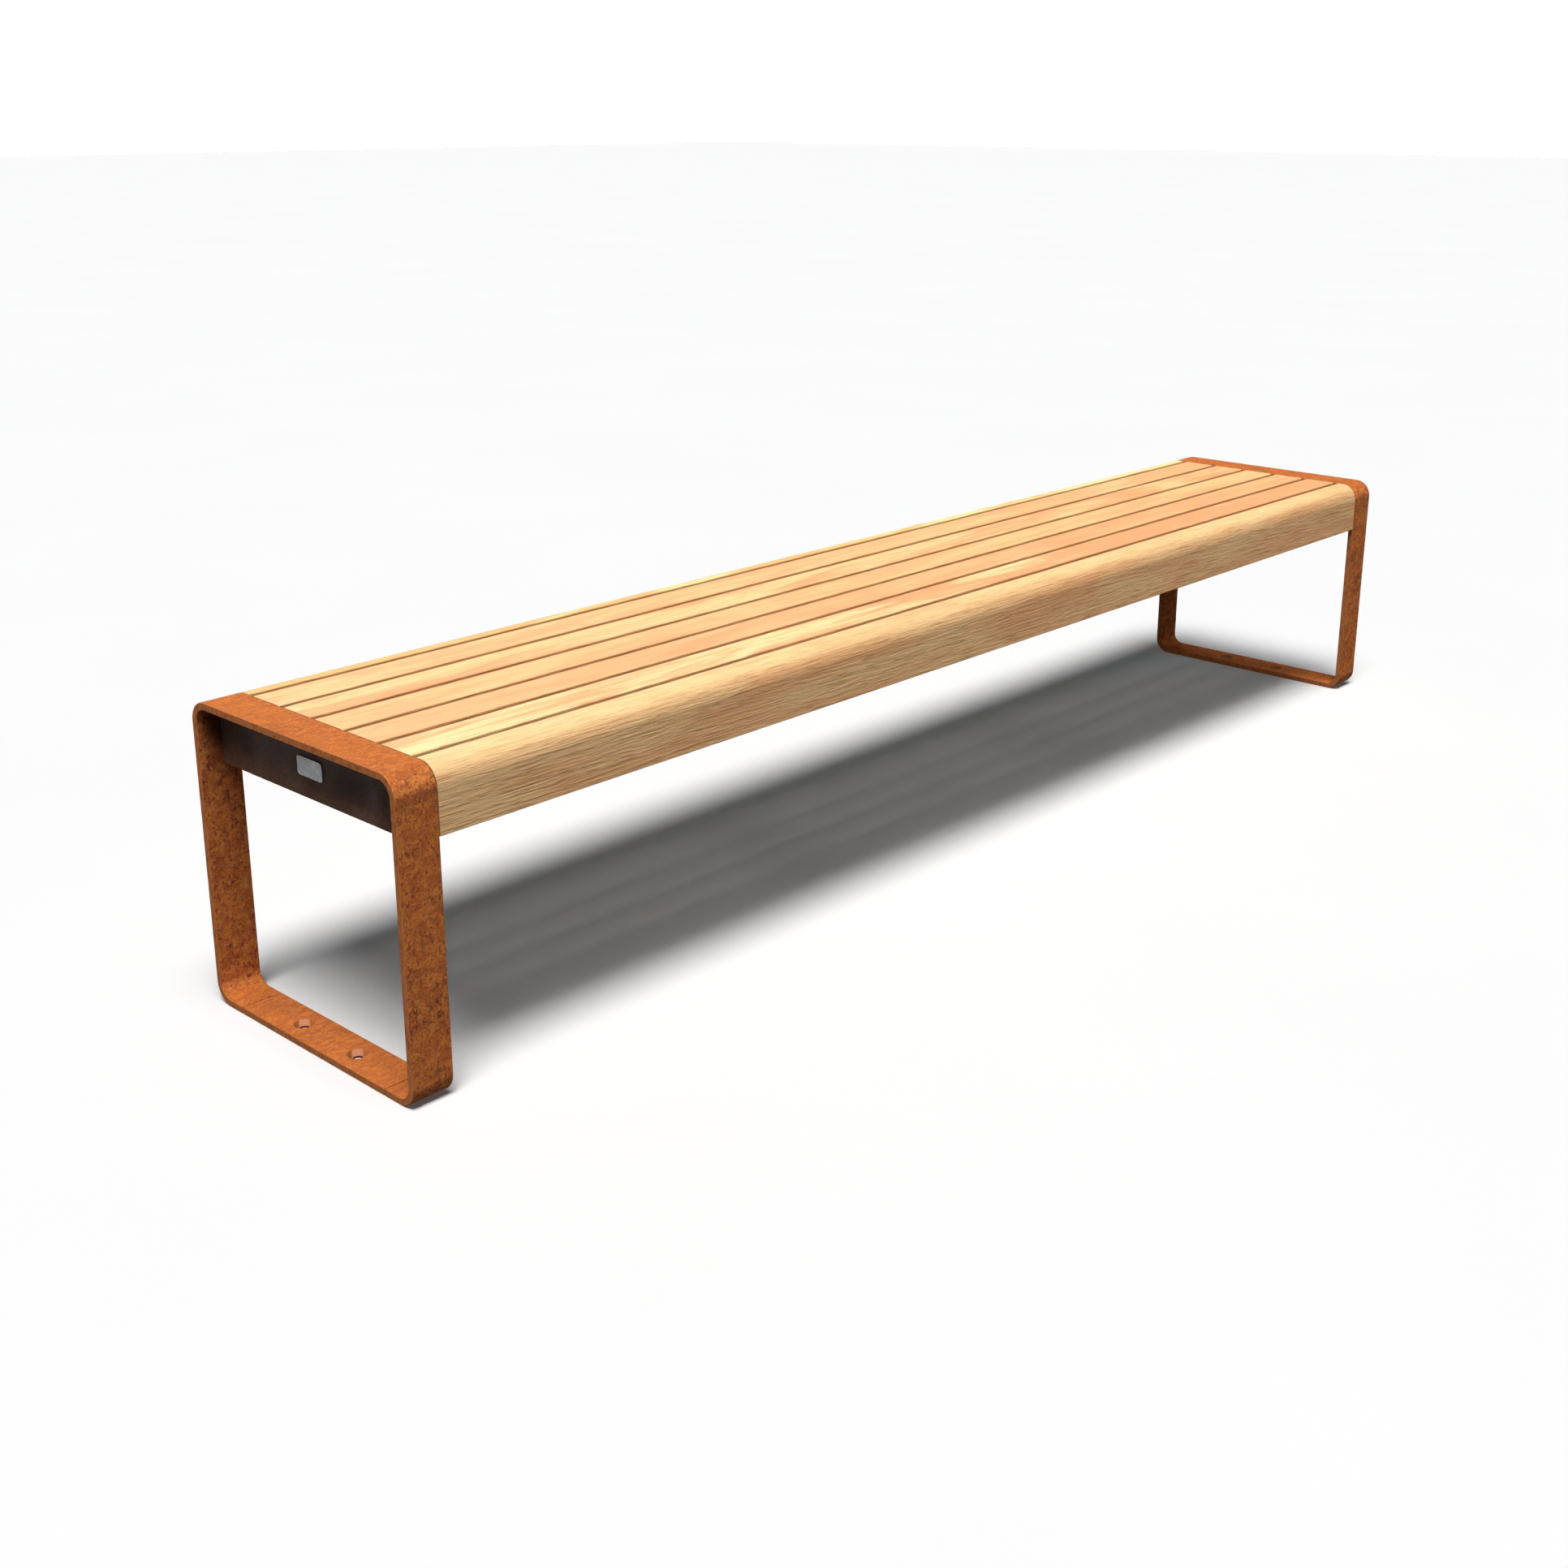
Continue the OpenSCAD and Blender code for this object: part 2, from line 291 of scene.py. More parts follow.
RUST_BASE = (0.54, 0.152, 0.036)
RUST_TOP = (0.48, 0.112, 0.010)
RUST_BRIGHT = (0.71, 0.235, 0.048)
RUST_BROWN = (0.38, 0.106, 0.036)
RUST_RED = (0.26, 0.052, 0.032)
RUST_DARK_AND_BORE_SHADE = (0.12, 0.022, 0.018)
RUST_SPECK = (0.90, 0.42, 0.20)
RUST_CUT = (0.76, 0.268, 0.092)
RUST_CUT_DARK = (0.50, 0.156, 0.056)
# Painted shade for the loop's inner side near the end plate, under the top bar
RUST_PAINTED_SHADE = (0.050, 0.028, 0.020)
# Painted reflection for the holes' far walls, with rust mottling in it, and painted shade for their other
# side
CONE_PAINTED_REFLECTION = (0.69, 0.325, 0.175)
CONE_REFLECTION_RUST = (0.60, 0.23, 0.105)
CONE_PAINTED_SHADE = (0.26, 0.100, 0.030)

# Which way the strip of painted reflection lies from the middle of its hole, in X and Y
REFLECTION_SIDE = Vector((0.54, 0.84))


def painted_shade_near_plate(paint):
    """Where the painted shade goes: one on a loop's inner side, close to the end plate and above its lower
    edge, and zero elsewhere.
    """
    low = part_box("left_end_plate")[0]
    outward = paint.times(paint.axis("Normal", 1), paint.math("SIGN", paint.axis("Object", 1)))
    turned_in = paint.step(paint.math("ADD", outward, paint.axis("Normal", 2)), -0.3, -0.9)
    raised = paint.step(paint.axis("Object", 2), low.z - 0.015, low.z + 0.055)
    from_plate = paint.step(paint.math("ABSOLUTE", paint.axis("Object", 0)), -low.x + 0.04, -low.x)
    return paint.times(paint.times(turned_in, raised), from_plate)


def weathering_steel(name):
    """Orange rust, smoother on top, with red-brown spots and pale specks on the sides. The cut edges are a
    more even brown, and the loop's inner side near the end plate is painted nearly black, as painted shade."""
    paint = Paint(name)
    cloud = paint.noise(0.070, (0.6, 1, 1), detail=4, shift=1)
    mottle = paint.noise(0.0085, (1.8, 0.8, 1.6), detail=4, roughness=0.6, shift=2, warp=0.6)
    grain = paint.noise(0.0030, (1, 1, 1.4), detail=3, roughness=0.6, shift=3)
    freckle = paint.noise(0.0042, (1, 1, 1.5), detail=2, roughness=0.5, shift=7)
    spot = paint.noise(0.0058, (1, 1, 1.5), detail=3, roughness=0.6, shift=4, warp=0.5)
    clump = paint.noise(0.060, detail=2, shift=5)
    speck = paint.noise(0.0028, detail=2, roughness=0.6, shift=6)
    streak = paint.noise(0.010, (3, 0.5, 1), detail=3, roughness=0.6, shift=8, warp=0.5)
    on_top = paint.step(paint.axis("Normal", 2), 0.5, 0.95)
    on_side = paint.step(on_top, 0, 1, 1, 0.45)
    colour = paint.mix(RUST_BROWN, RUST_BASE, paint.step(cloud, 0.30, 0.53))
    colour = paint.mix(colour, RUST_BRIGHT, paint.times(paint.step(mottle, 0.42, 0.60), 0.90))
    colour = paint.mix(colour, RUST_BROWN, paint.times(paint.step(grain, 0.46, 0.68), 0.55))
    colour = paint.mix(colour, RUST_TOP, paint.times(on_top, 0.35))
    streaked = paint.times(paint.step(streak, 0.46, 0.66), on_top)
    colour = paint.mix(colour, RUST_BROWN, paint.times(streaked, 0.55))
    freckled = paint.times(paint.step(freckle, 0.56, 0.66), on_side)
    colour = paint.mix(colour, RUST_RED, paint.times(freckled, 0.70))
    blotched = paint.times(paint.step(spot, 0.55, 0.64), paint.step(clump, 0.40, 0.60))
    colour = paint.mix(colour, RUST_DARK_AND_BORE_SHADE, paint.times(paint.times(blotched, on_side), 0.65))
    specked = paint.times(paint.step(speck, 0.58, 0.72), on_side)
    colour = paint.mix(colour, RUST_SPECK, paint.times(specked, 0.75))
    # Painted shade: the loop's inner side under the top bar, near the end plate, is darkened almost to black
    colour = paint.mix(colour, RUST_PAINTED_SHADE, paint.times(painted_shade_near_plate(paint), 0.90))
    facing_end = paint.math("ABSOLUTE", paint.axis("Normal", 0))
    edge = paint.mix(RUST_CUT, RUST_CUT_DARK, paint.step(mottle, 0.42, 0.70))
    colour = paint.mix(colour, edge, paint.times(paint.step(facing_end, 0.55, 0.95), 0.88))
    rough = paint.step(grain, 0.2, 0.8, 0.72, 0.95)
    pitted = paint.bump(paint.math("ADD", grain, paint.times(spot, 0.8)), 0.0011, 0.6)
    normal = paint.bump(speck, 0.0005, 0.6, under=pitted)
    return paint.finish(colour, rough, normal, specular=0.12)


def hole_shade_and_reflection(name, reflection_share, shaded_to):
    """The walls of the anchor holes: rust, with painted shade down the bore and as far across as shaded_to,
    and a painted reflection, a pale strip on each cone's far wall, whose strength is given."""
    paint = Paint(name)
    strip_edge, shade_edge = 0.0005, 0.006
    from_hole = []
    for index, place in enumerate((HOLE_X, HOLE_Y)):
        value = paint.axis("Object", index)
        from_hole.append(paint.math("MULTIPLY_ADD", paint.math("SIGN", value), -place, value))
    x, y = from_hole
    towards = REFLECTION_SIDE.normalized()
    along = paint.math("ADD", paint.times(x, towards.x), paint.times(y, towards.y))
    across = paint.math("SUBTRACT", paint.times(x, towards.y), paint.times(y, towards.x))
    off_centre = paint.math("ABSOLUTE", across)
    in_strip = paint.step(off_centre, HOLE_RADIUS + strip_edge, HOLE_RADIUS - strip_edge)
    on_far_side = paint.step(along, 0, 2 * strip_edge)
    on_cone = paint.step(paint.axis("Normal", 2), 0.1, 0.5)
    smear = paint.noise(0.004, detail=3, roughness=0.6, shift=51)
    grain = paint.noise(0.0015, detail=2, shift=52)
    colour = paint.mix(RUST_BROWN, RUST_BASE, paint.step(smear, 0.30, 0.70))
    # Painted shade over one side of each cone, as far across as shaded_to
    shaded = paint.step(across, shaded_to, shaded_to - shade_edge)
    colour = paint.mix(colour, CONE_PAINTED_SHADE, paint.times(shaded, 0.8))
    # Painted reflection: a pale strip on the far wall of each cone
    pale_reflection = paint.mix(CONE_PAINTED_REFLECTION, CONE_REFLECTION_RUST, paint.times(paint.step(smear, 0.40, 0.66), 0.6))
    colour = paint.mix(colour, pale_reflection, paint.times(paint.times(in_strip, on_far_side), reflection_share))
    # Painted shade down the bore, below the cone
    colour = paint.mix(RUST_DARK_AND_BORE_SHADE, colour, on_cone)
    rough = paint.step(grain, 0.3, 0.7, 0.55, 0.70)
    return paint.finish(colour, rough, paint.bump(grain, 0.0002, 0.4), specular=0.2)


# The end plate's colours are darkened as painted shade of its recess under the loop's top
PLATE_PAINTED_SHADE = (0.125, 0.075, 0.057)
PLATE_SHADED_BROWN = (0.29, 0.145, 0.088)
PLATE_RUST_SPECK = (0.50, 0.24, 0.12)


def plate_steel_painted_shade(name):
    """The end plate's steel under the loop: a grey-brown skin with rust specks, darkened as painted shade of
    the recess under the loop's top, darkest at the top and browner low down."""
    paint = Paint(name)
    cloud = paint.noise(0.045, detail=4, shift=41)
    grain = paint.noise(0.0038, detail=3, roughness=0.6, shift=42)
    speck = paint.noise(0.0050, detail=2, roughness=0.6, shift=43)
    low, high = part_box("left_end_plate")
    height = paint.math("MULTIPLY_ADD", cloud, 0.05, paint.axis("Object", 2))
    # Painted shade: darkest up under the bar, browner towards the plate's lower edge
    colour = paint.mix(PLATE_SHADED_BROWN, PLATE_PAINTED_SHADE, paint.step(height, low.z + 0.02, high.z))
    colour = paint.mix(colour, PLATE_PAINTED_SHADE, paint.times(paint.step(grain, 0.45, 0.62), 0.5))
    colour = paint.mix(colour, PLATE_RUST_SPECK, paint.times(paint.step(speck, 0.62, 0.72), 0.2))
    rough = paint.step(cloud, 0.3, 0.7, 0.62, 0.80)
    return paint.finish(colour, rough, paint.bump(grain, 0.0008, 0.5), specular=0.22)


# The first wood colour is a painted highlight for the boards' upward faces
WOOD_PAINTED_TOP_LIGHT = (0.98, 0.76, 0.38)
WOOD_STREAK = (0.76, 0.380, 0.155)
WOOD_DEEP_AND_GAP_SHADE = (0.48, 0.230, 0.095)
WOOD_PORE = (0.34, 0.150, 0.060)
WOOD_END = (0.50, 0.26, 0.11)


def hardwood(name, shift, light, dark, patch_low, patch_high, top_light, drift=0.0):
    """Lengthwise grain between two tones, with a painted highlight paling the upward faces, painted shade on
    the side faces down in the gaps, and darker at the sawn ends. Drift is how fast the second tone gains
    along the board."""
    paint = Paint(name)
    patch = paint.noise(0.045, (7, 1, 1), detail=4, roughness=0.55, shift=shift + 1, warp=0.8)
    patch = paint.math("MULTIPLY_ADD", paint.axis("Object", 0), drift, patch)
    band = paint.noise(0.010, (18, 1, 1), detail=4, roughness=0.6, shift=shift + 2, warp=0.4)
    fibre = paint.noise(0.0032, (18, 1, 1), detail=4, roughness=0.65, shift=shift + 3, warp=0.6)
    pore = paint.noise(0.0016, (18, 1, 1), detail=2, roughness=0.5, shift=shift + 4)
    facing_up = paint.step(paint.axis("Normal", 2), 0.3, 0.95)
    facing_side = paint.step(paint.math("ABSOLUTE", paint.axis("Normal", 1)), 0.75, 0.98)
    facing_end = paint.step(paint.math("ABSOLUTE", paint.axis("Normal", 0)), 0.6, 0.95)
    # Where a side face lies in a gap between boards, away from the seat's front and back, for painted shade
    half_depth = cad_bounds[1][1]
    inside = paint.step(paint.math("ABSOLUTE", paint.axis("Object", 1)), half_depth, half_depth - 0.010)
    colour = paint.mix(light, dark, paint.step(patch, patch_low, patch_high))
    # Painted highlight: upward faces paled towards a bright yellow
    colour = paint.mix(colour, WOOD_PAINTED_TOP_LIGHT, paint.times(facing_up, top_light))
    colour = paint.mix(colour, WOOD_STREAK, paint.times(paint.step(band, 0.48, 0.74), 0.46))
    colour = paint.mix(colour, WOOD_STREAK, paint.times(paint.step(fibre, 0.44, 0.72), 0.46))
    deep = paint.times(paint.step(fibre, 0.52, 0.70), paint.step(facing_up, 0, 1, 0.55, 0.08))
    colour = paint.mix(colour, WOOD_DEEP_AND_GAP_SHADE, deep)
    colour = paint.mix(colour, WOOD_PORE, paint.times(paint.step(pore, 0.58, 0.70), 0.20))
    # Painted shade on the boards' side faces down in the gaps between them
    colour = paint.mix(colour, WOOD_DEEP_AND_GAP_SHADE, paint.times(paint.times(facing_side, inside), 0.55))
    colour = paint.mix(colour, WOOD_END, paint.times(facing_end, 0.8))
    rough = paint.step(fibre, 0.3, 0.8, 0.50, 0.70)
    relief = paint.bump(fibre, 0.0024, 0.8)
    normal = paint.bump(pore, 0.0008, 0.6, under=relief)
    return paint.finish(colour, rough, normal, specular=0.25)


def plated_steel(name, base, shade, grain_size, rough_low, rough_high, shift=0, spangled=False):
    """Zinc or bright steel: a soft mottle, broken into a patchwork of crystals if spangled, with fine
    scratches and dull smears."""
    paint = Paint(name)
    crystal = paint.noise(grain_size, detail=2, roughness=0.4, shift=shift + 1, warp=0.8)
    if spangled:
        crystal = paint.math("MULTIPLY_ADD", paint.cells(grain_size), 0.5, paint.times(crystal, 0.5))
    smear = paint.noise(0.05, (3, 1, 1), detail=3, shift=shift + 2)
    scratch = paint.noise(0.0012, (14, 1, 1), detail=2, shift=shift + 3)
    colour = paint.mix(shade, base, paint.step(crystal, 0.35, 0.65))
    colour = paint.mix(colour, shade, paint.times(paint.step(smear, 0.5, 0.8), 0.5))
    rough = paint.step(smear, 0.3, 0.7, rough_low, rough_high)
    normal = paint.bump(scratch, 0.0002, 0.25)
    return paint.finish(colour, rough, normal, metallic=0.85)


def weld_metal(name):
    """A ripple of small scales along each run, dark between them."""
    paint = Paint(name)
    scale = paint.noise(0.0028, detail=3, roughness=0.6, warp=0.8)
    colour = paint.mix((0.20, 0.085, 0.045), (0.40, 0.19, 0.10), paint.step(scale, 0.35, 0.65))
    rough = paint.step(scale, 0.3, 0.7, 0.45, 0.8)
    return paint.finish(colour, rough, paint.bump(scale, 0.0008, 0.8), metallic=0.3)


# ---- Weathering steel pieces ----


def bar_section():
    """The flat bar's cross-section: X across it, and Y through it, outward."""
    half_width, half_thickness = span("left_hoop").x / 2, BAR_THICKNESS / 2
    return rounded_outline((-half_width, -half_thickness), (half_width, half_thickness), [BAR_EDGE] * 4)


def bar_ring(middle_x, place, outward, inset=0.0, cut=0.0):
    """The bar's section at a place on its path, drawn in by inset and with cut taken off its outer side."""
    ring = []
    for p in shrunk(bar_section(), inset):
        through = min(p.y, BAR_THICKNESS / 2 - cut)
        ring.append(Vector((middle_x + p.x, place.x + outward.x * through, place.y + outward.y * through)))
    return ring


def joint_rings(middle_x, side, into):
    """The end of a bar at a foot joint, on the side given; into points along the bar, away from the joint."""
    soft = BAR_SEAM_GAP + BAR_SEAM_EDGE
    # For each ring: how far along the bar, how far drawn in, and how deep the groove is there
    steps = [
        (BAR_SEAM_GAP, BAR_SEAM_EDGE, GROOVE_DEPTH),
        (soft, 0, GROOVE_DEPTH - BAR_SEAM_EDGE),
        (GROOVE_DEPTH, 0, 0),
    ]
    rings = []
    for along, inset, cut in steps:
        place = Vector((side * FOOT_HALF + into * along, BAR_THICKNESS / 2))
        rings.append(bar_ring(middle_x, place, Vector((0, -1)), inset, cut))
    return rings


def hoop(name):
    """The bent flat bar, from one foot joint round over the top to the other."""
    middle_x = middle(name).x
    low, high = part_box(name)
    bend_steps = 14
    # Each corner's Y and Z, the way in from it, and the quarter turn that its bend starts at
    corners = [
        (low.y, low.z, 1, 1, -1),
        (low.y, high.z, 1, -1, -2),
        (high.y, high.z, -1, -1, -3),
        (high.y, low.z, -1, 1, -4),
    ]
    rings = joint_rings(middle_x, -1, -1)
    for y, z, inward_y, inward_z, quarter in corners:
        centre = Vector((y + inward_y * CORNER_RADIUS, z + inward_z * CORNER_RADIUS))
        for point in arc(centre, CORNER_RADIUS - BAR_THICKNESS / 2, quarter, quarter - 1, bend_steps):
            rings.append(bar_ring(middle_x, point, (point - centre).normalized()))
    rings += reversed(joint_rings(middle_x, 1, 1))
    return skin(name + "_bar", rings)


def countersink(place):
    """What an anchor hole takes out: a bore, a 45 degree cone and a slightly rounded rim."""
    cone = BAR_THICKNESS - (COUNTERSINK_RIM - HOLE_RADIUS)
    soft = 0.0005
    points = 64
    profile = [
        (HOLE_RADIUS, -soft),
        (HOLE_RADIUS, cone),
        (COUNTERSINK_RIM - soft, BAR_THICKNESS - soft),
        (COUNTERSINK_RIM + 0.2 * soft, BAR_THICKNESS - 0.1 * soft),
        (COUNTERSINK_RIM + 3 * soft, BAR_THICKNESS + soft),
    ]
    turns = [math.tau * i / points for i in range(points)]
    rings = [[place + Vector((r * math.cos(t), r * math.sin(t), z)) for t in turns] for r, z in profile]
    return skin("countersink_cutter", rings)


def cut_away(piece, cutter):
    """Takes the cutter out of the piece for good, and removes the cutter."""
    modifier = piece.modifiers.new("cut", "BOOLEAN")
    modifier.operation = "DIFFERENCE"
    modifier.solver = "EXACT"
    modifier.object = cutter
    bpy.context.view_layer.update()
    made = bpy.data.meshes.new_from_object(piece.evaluated_get(bpy.context.evaluated_depsgraph_get()))
    piece.modifiers.clear()
    piece.data = made
    bpy.data.objects.remove(cutter)


def foot_strap(name):
    """The flat strap between the foot joints, with its two countersunk anchor holes."""
    middle_x = middle(name).x
    rings = joint_rings(middle_x, -1, 1) + list(reversed(joint_rings(middle_x, 1, -1)))
    piece = skin(name + "_bar", rings)
    for y in (-HOLE_Y, HOLE_Y):
        cut_away(piece, countersink(Vector((middle_x, y, 0))))
    return piece


def set_countersink_material(piece, material):
    """Gives the anchor holes' walls a material of their own, up to just inside the rim."""
    piece.data.materials.append(material)
    rim, level = 0.0006, 0.95
    for face in piece.data.polygons:
        from_centre = math.hypot(abs(face.center.x) - HOLE_X, abs(face.center.y) - HOLE_Y)
        if from_centre < COUNTERSINK_RIM - rim and abs(face.normal.z) < level:
            face.material_index = 1


def end_plate(name):
    """The sheet that closes the end of the seat, with its top corners rounded to fit inside the loop."""
    low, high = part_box(name)
    radii = [PLATE_EDGE, PLATE_EDGE, PLATE_CORNER, PLATE_CORNER]
    outline = rounded_outline((low.y, low.z), (high.y, high.z), radii)
    return extruded(name + "_sheet", outline, low.x, high.x, PLATE_EDGE)


def badge():
    low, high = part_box("badge")
    outline = rounded_outline((low.y, low.z), (high.y, high.z), [BADGE_CORNER] * 4)
    return extruded("badge_blank", outline, low.x, high.x, BADGE_EDGE)


# ---- Boards ----


def board(name):
    """A board with rounded long edges: the edge boards take the loops' corner on their outer side."""
    low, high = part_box(name)
    near_top = CORNER_RADIUS if name == "front_board" else BOARD_ARRIS
    far_top = CORNER_RADIUS if name == "back_board" else BOARD_ARRIS
    radii = [BOARD_BOTTOM_ARRIS, BOARD_BOTTOM_ARRIS, far_top, near_top]
    outline = rounded_outline((low.y, low.z), (high.y, high.z), radii)
    return extruded(name + "_plank", outline, low.x, high.x, BOARD_END_ARRIS)


# Each board's two tones, where one turns into the other, how strongly painted light pales its top, and its
# drift
WOOD_TONES = {
    "front_board": ((0.93, 0.590, 0.285), (0.86, 0.455, 0.208), 0.40, 0.66, 0.50, 0.04),
    "slat_1": ((0.98, 0.780, 0.385), (0.91, 0.430, 0.195), 0.34, 0.56, 0.00, 0.14),
    "slat_2": ((0.96, 0.525, 0.242), (0.93, 0.430, 0.196), 0.38, 0.66, 0.03, 0.06),
    "slat_3": ((0.97, 0.590, 0.265), (0.93, 0.480, 0.215), 0.38, 0.64, 0.05),
    "slat_4": ((0.98, 0.660, 0.305), (0.90, 0.415, 0.185), 0.42, 0.62, 0.05),
    "slat_5": ((0.97, 0.610, 0.280), (0.94, 0.480, 0.220), 0.38, 0.60, 0.05),
    "back_board": ((0.98, 0.530, 0.200), (1.00, 0.840, 0.395), 0.40, 0.60, 0.05, 0.12),
}


# ---- Fasteners and welds ----


def solid_boxes(node):
    """The lowest and highest corner of each separate solid in a CAD node."""
    mesh = bmesh.new()
    mesh.from_mesh(frame["nodes"][node].data)
    bmesh.ops.remove_doubles(mesh, verts=mesh.verts, dist=1e-6)
    unseen = set(mesh.verts)
    boxes = []
    while unseen:
        island = [unseen.pop()]
        for vert in island:
            for other in [edge.other_vert(vert) for edge in vert.link_edges]:
                if other in unseen:
                    unseen.remove(other)
                    island.append(other)
        corners = [Vector([pick(v.co[i] for v in island) for i in range(3)]) for pick in (min, max)]
        boxes.append(corners)
    mesh.free()
    return sorted(boxes, key=lambda box: [round(value, 5) for value in box[0]])


def turned(place, axis, profile):
    """Rings about an axis. The profile gives each one's distance along it, its radius and whether it is
    a hexagon, whose radius is to its corners."""
    across = axis.orthogonal().normalized()
    upward = axis.cross(across)
    points = 24
    rings = []
    for distance, radius, hexagon in profile:
        ring = []
        for i in range(points):
            turn = math.tau * i / points
            flat = math.cos(math.pi / 6) / math.cos(turn % (math.pi / 3) - math.pi / 6)
            reach = radius * flat if hexagon else radius
            ring.append(place + axis * distance + (across * math.cos(turn) + upward * math.sin(turn)) * reach)
        rings.append(ring)
    return rings


def slat_screw(low, high):
    """A pan-head screw with a hexagon socket, driven upward."""
    place = Vector(((low.x + high.x) / 2, (low.y + high.y) / 2, low.z))
    head, length = (high.x - low.x) / 2, high.z - low.z
    shank, head_height, point = head / 2, 0.0035, 0.004
    socket = [(0.0022, 0.0018, True), (0.0001, 0.0021, True), (0, 0.0024, False)]
    crown = [(0, 0.72 * head, False), (0.0006, 0.90 * head, False), (0.0016, head, False)]
    shoulder = [(head_height, head, False), (head_height, shank, False)]
    end = [(length - point, shank, False), (length, 0.3 * shank, False)]
    return turned(place, Vector((0, 0, 1)), socket + crown + shoulder + end)


def board_screw(low, high):
    """A hexagon-headed screw with a washer face, driven outward into an edge board."""
    outward = math.copysign(1, low.y + high.y)
    start = low.y if outward > 0 else high.y
    place = Vector(((low.x + high.x) / 2, start, (low.z + high.z) / 2))
    corner, length = max(high.x - low.x, high.z - low.z) / 2, high.y - low.y
    shank, washer_face = corner / 1.85, 0.84 * corner
    head_height, point = 0.0055, 0.005
    crown = [(0, 0.80 * corner, False), (0.0007, 0.985 * corner, True), (0.0011, corner, True)]
    foot = [(head_height - 0.0006, corner, True), (head_height - 0.0005, washer_face, False)]
    shoulder = [(head_height, washer_face, False), (head_height, shank, False)]
    end = [(length - point, shank, False), (length, 0.3 * shank, False)]
    return turned(place, Vector((0, outward, 0)), crown + foot + shoulder + end)


def stud_place(low, high):
    """The outer end of a stud's, washer's or nut's box on its own axis, and the way in towards the bench."""
    inward = -math.copysign(1, low.x + high.x)
    start = high.x if inward < 0 else low.x
    return Vector((start, (low.y + high.y) / 2, (low.z + high.z) / 2)), Vector((inward, 0, 0))


def weld_stud(low, high):
    """A stud with a helical thread past its washer."""
    place, axis = stud_place(low, high)
    radius, length = (high.y - low.y) / 2, high.x - low.x
    plain, pitch, depth, tip = 0.0075, 0.0015, 0.0009, 0.0010
    rings_per_turn = 6
    threaded_rings = int((length - plain) / pitch * rings_per_turn)
    distances = [0, plain]
    distances += [plain + step * pitch / rings_per_turn for step in range(1, threaded_rings + 1)]
    rings = turned(place, axis, [(distance, radius, False) for distance in distances])
    for distance, ring in zip(distances, rings):
        middle_point = place + axis * distance
        for i, point in enumerate(ring):
            phase = (distance / pitch - i / len(ring)) % 1
            cut = depth * (1 - abs(2 * phase - 1)) if distance > plain else 0
            cut = max(cut, distance - (length - tip))
            ring[i] = middle_point + (point - middle_point) * (1 - cut / radius)
    return rings


def stud_washer(low, high):
    """A flat washer with softened rims."""
    place, axis = stud_place(low, high)
    outer, thickness, soft = (high.y - low.y) / 2, high.x - low.x, 0.0003
    bore = outer / 2
    profile = [
        (0, bore, False),
        (0, outer - soft, False),
        (soft, outer, False),
        (thickness - soft, outer, False),
        (thickness, outer - soft, False),
        (thickness, bore, False),
    ]
    return turned(place, axis, profile)


def stud_nut(low, high):
    """A hexagon nut, chamfered on both faces."""
    place, axis = stud_place(low, high)
    corner, height = max(high.y - low.y, high.z - low.z) / 2, high.x - low.x
    bore, face, chamfer, lead_in = corner / 1.95, 0.84 * corner, 0.0009, 0.0006
    profile = [
        (0, bore, False),
        (0, face, False),
        (chamfer, corner, True),
        (height - chamfer, corner, True),
        (height, face, False),
        (height, 1.12 * bore, False),
        (height - lead_in, bore, False),
    ]
    return turned(place, axis, profile)


def outermost(low, high, axis):
    """Where a box is furthest out along an axis, and the way back in. Upward counts as outward."""
    return (high[axis], -1) if axis == 2 or high[axis] > 0 else (low[axis], 1)


def weld_run(low, high):
    """A fillet weld with overlapping ripples. It lies in the box's corner that is furthest out and up."""
    size = high - low
    run = max(range(3), key=lambda i: size[i])
    other = 3 - run
    ripple, ring_gap, arc_steps = 0.0024, 0.0004, 8
    tail, tail_drop = 0.0025, 0.45
    fullness, ripple_depth = 0.97, 0.13
    corner, first, second = Vector(), Vector(), Vector()
    corner.x, inward_x = outermost(low, high, 0)
    corner[other], inward_other = outermost(low, high, other)
    first.x = inward_x * size.x
    second[other] = inward_other * size.x
    steps = int(size[run] / ring_gap)
    rings = []
    for step in range(steps + 1):
        along = size[run] * step / steps
        corner[run] = low[run] + along
        from_end = min(along, size[run] - along)
        taper = 1 - tail_drop * max(0, 1 - from_end / tail) ** 2
        ring = [corner.copy()]
        for i in range(arc_steps + 1):
            turn = math.pi / 2 * i / arc_steps
            crest = (along / ripple + 0.5 * math.sin(2 * turn)) % 1
            reach = taper * (fullness - ripple_depth * crest)
            ring.append(corner + (first * math.cos(turn) + second * math.sin(turn)) * reach)
        rings.append(ring)
    return rings


# What shapes each solid of a node from its box, and the node's slot
DETAILED = {
    "slat_screws": (slat_screw, "fastener_steel"),
    "board_screws": (board_screw, "fastener_steel"),
    "weld_studs": (weld_stud, "fastener_steel"),
    "stud_washers": (stud_washer, "fastener_steel"),
    "stud_nuts": (stud_nut, "fastener_steel"),
    "end_plate_welds": (weld_run, "weld_steel"),
    "frame_welds": (weld_run, "weld_steel"),
}

# ---- Assembly ----

steel = weathering_steel("weathering_steel")
